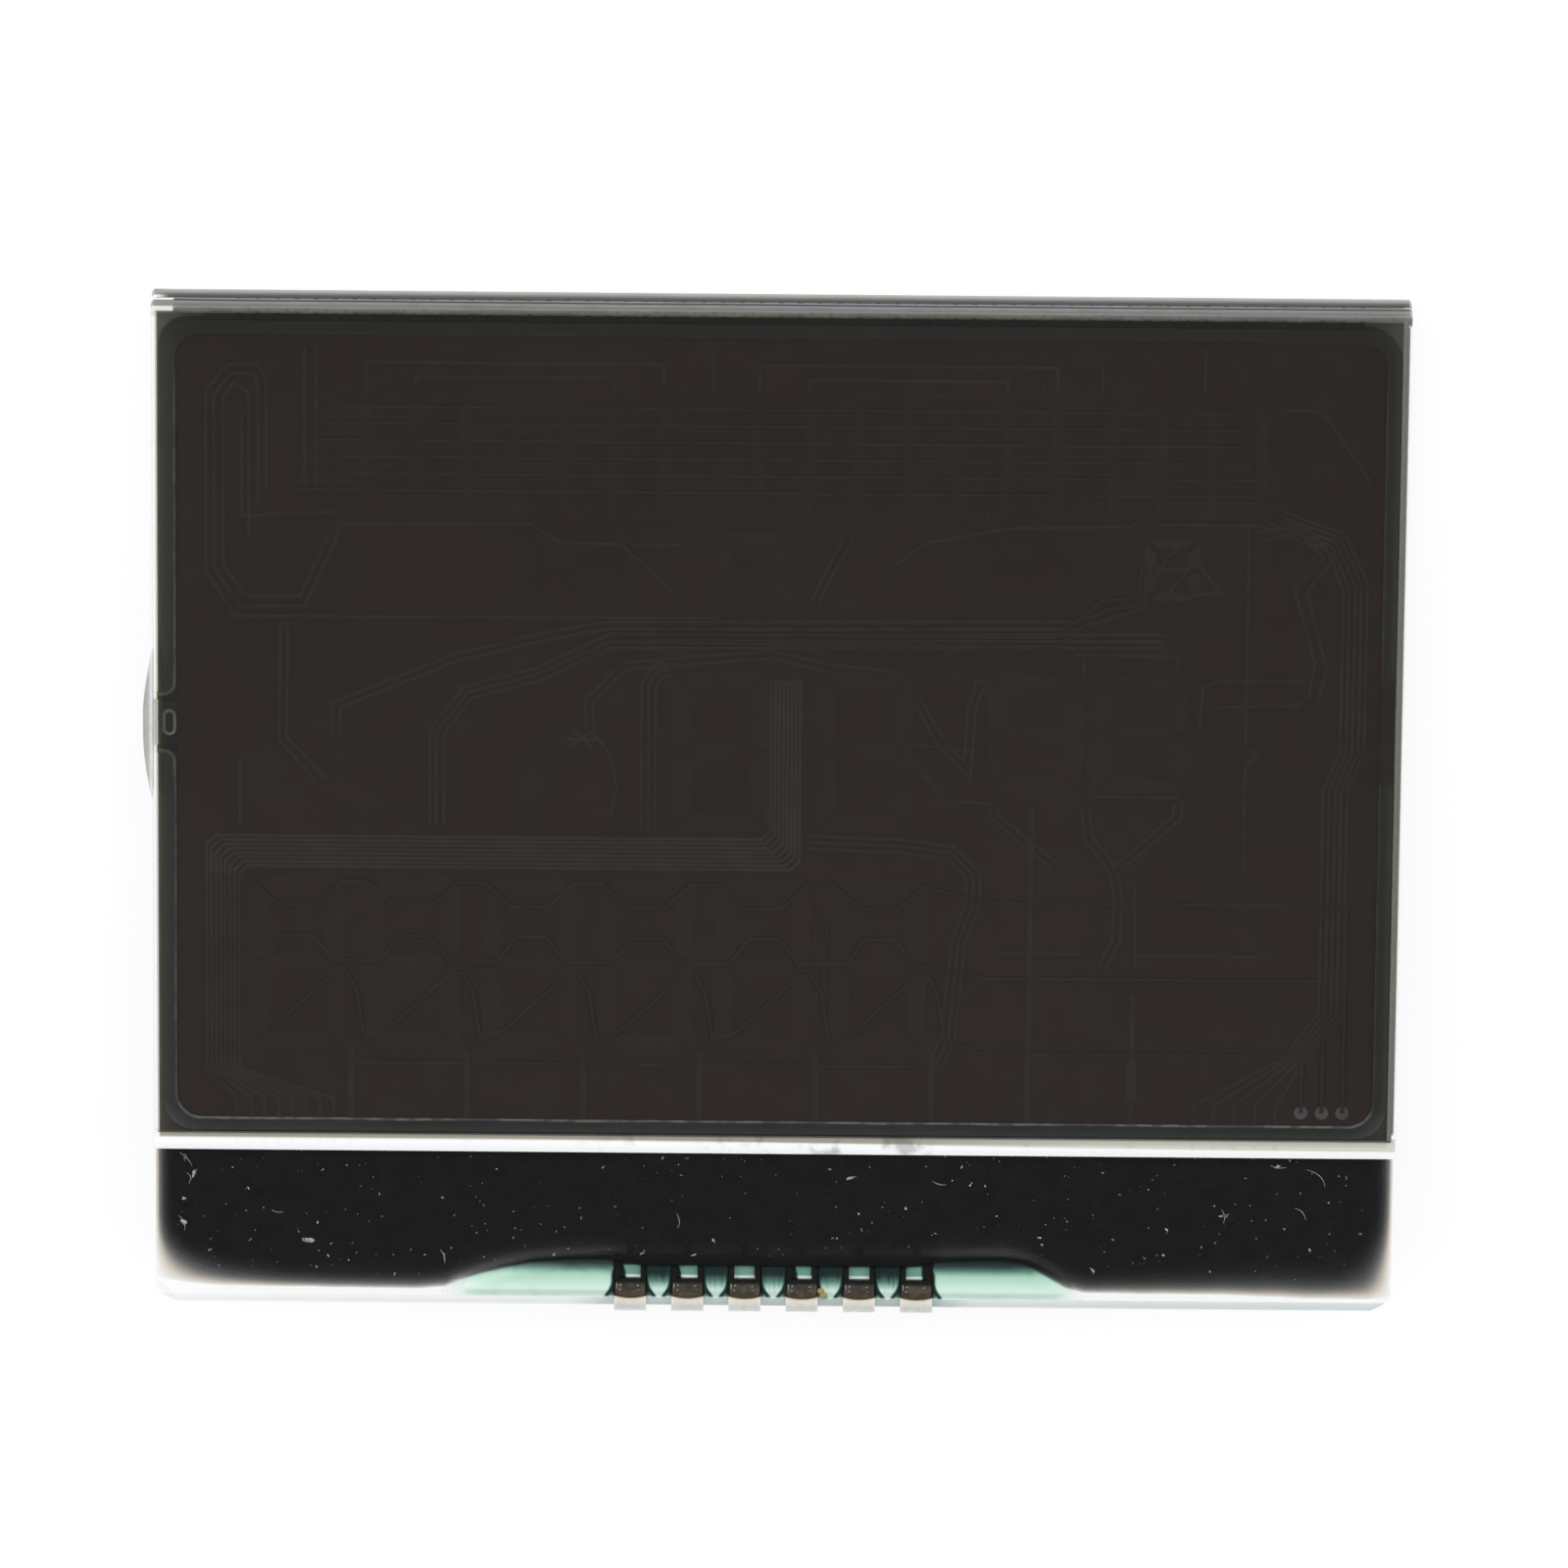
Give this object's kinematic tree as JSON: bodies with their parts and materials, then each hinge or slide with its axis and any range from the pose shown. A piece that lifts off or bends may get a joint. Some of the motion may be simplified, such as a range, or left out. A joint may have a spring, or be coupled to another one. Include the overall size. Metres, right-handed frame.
{
  "type": "lcd screen",
  "caption": "Segment LCD panel of two glass plates with polarisers, a driver chip under black coating on a ledge, and a short row of clip-on leads",
  "frame": {"origin": "the middle of the rear, backlight face, level with the middle of the rear glass plate", "axes": "+X runs along the width of the glass to the right, +Y up the display away from the ledge and leads, and +Z out of the display face towards the viewer"},
  "size_m": [0.0544, 0.0468, 0.0061],
  "materials": {
    "rear_polariser": "glossy film, near-black where the two sheets cross",
    "rear_glass": "clear float glass with a slight green edge",
    "segment_electrodes": "transparent conductor film",
    "liquid_crystal": "clear liquid between the plates",
    "perimeter_seal": "cured epoxy sealant",
    "port_island": "cured epoxy sealant",
    "crossover_dots": "epoxy filled with conductive beads",
    "common_electrodes": "transparent conductor film",
    "front_glass": "clear float glass with a slight green edge",
    "front_polariser": "glossy film, cream where it lies alone",
    "end_seal": "clear cured resin",
    "ledge_tracks": "transparent conductor film",
    "chip_bond_film": "cured bonding film",
    "driver_chip": "bare silicon die",
    "ledge_coating": "black silicone, dusty",
    "clip_adhesive": "translucent mint resin",
    "clip_lead_1": "tinned strip, dulled to brown on the flat",
    "clip_lead_2": "tinned strip, dulled to brown on the flat",
    "clip_lead_3": "tinned strip, dulled to brown on the flat",
    "clip_lead_4": "tinned strip, dulled to brown on the flat",
    "clip_lead_5": "tinned strip, dulled to brown on the flat",
    "clip_lead_6": "tinned strip, dulled to brown on the flat"
  },
  "bodies": {
    "root": {"rear_polariser": "rear_polariser", "rear_glass": "rear_glass", "segment_electrodes": "segment_electrodes", "liquid_crystal": "liquid_crystal", "perimeter_seal": "perimeter_seal", "port_island": "port_island", "crossover_dots": "crossover_dots", "common_electrodes": "common_electrodes", "front_glass": "front_glass", "front_polariser": "front_polariser", "end_seal": "end_seal", "ledge_tracks": "ledge_tracks", "chip_bond_film": "chip_bond_film", "driver_chip": "driver_chip", "ledge_coating": "ledge_coating", "clip_adhesive": "clip_adhesive", "clip_lead_1": "clip_lead_1", "clip_lead_2": "clip_lead_2", "clip_lead_3": "clip_lead_3", "clip_lead_4": "clip_lead_4", "clip_lead_5": "clip_lead_5", "clip_lead_6": "clip_lead_6"}
  },
  "joints": []
}
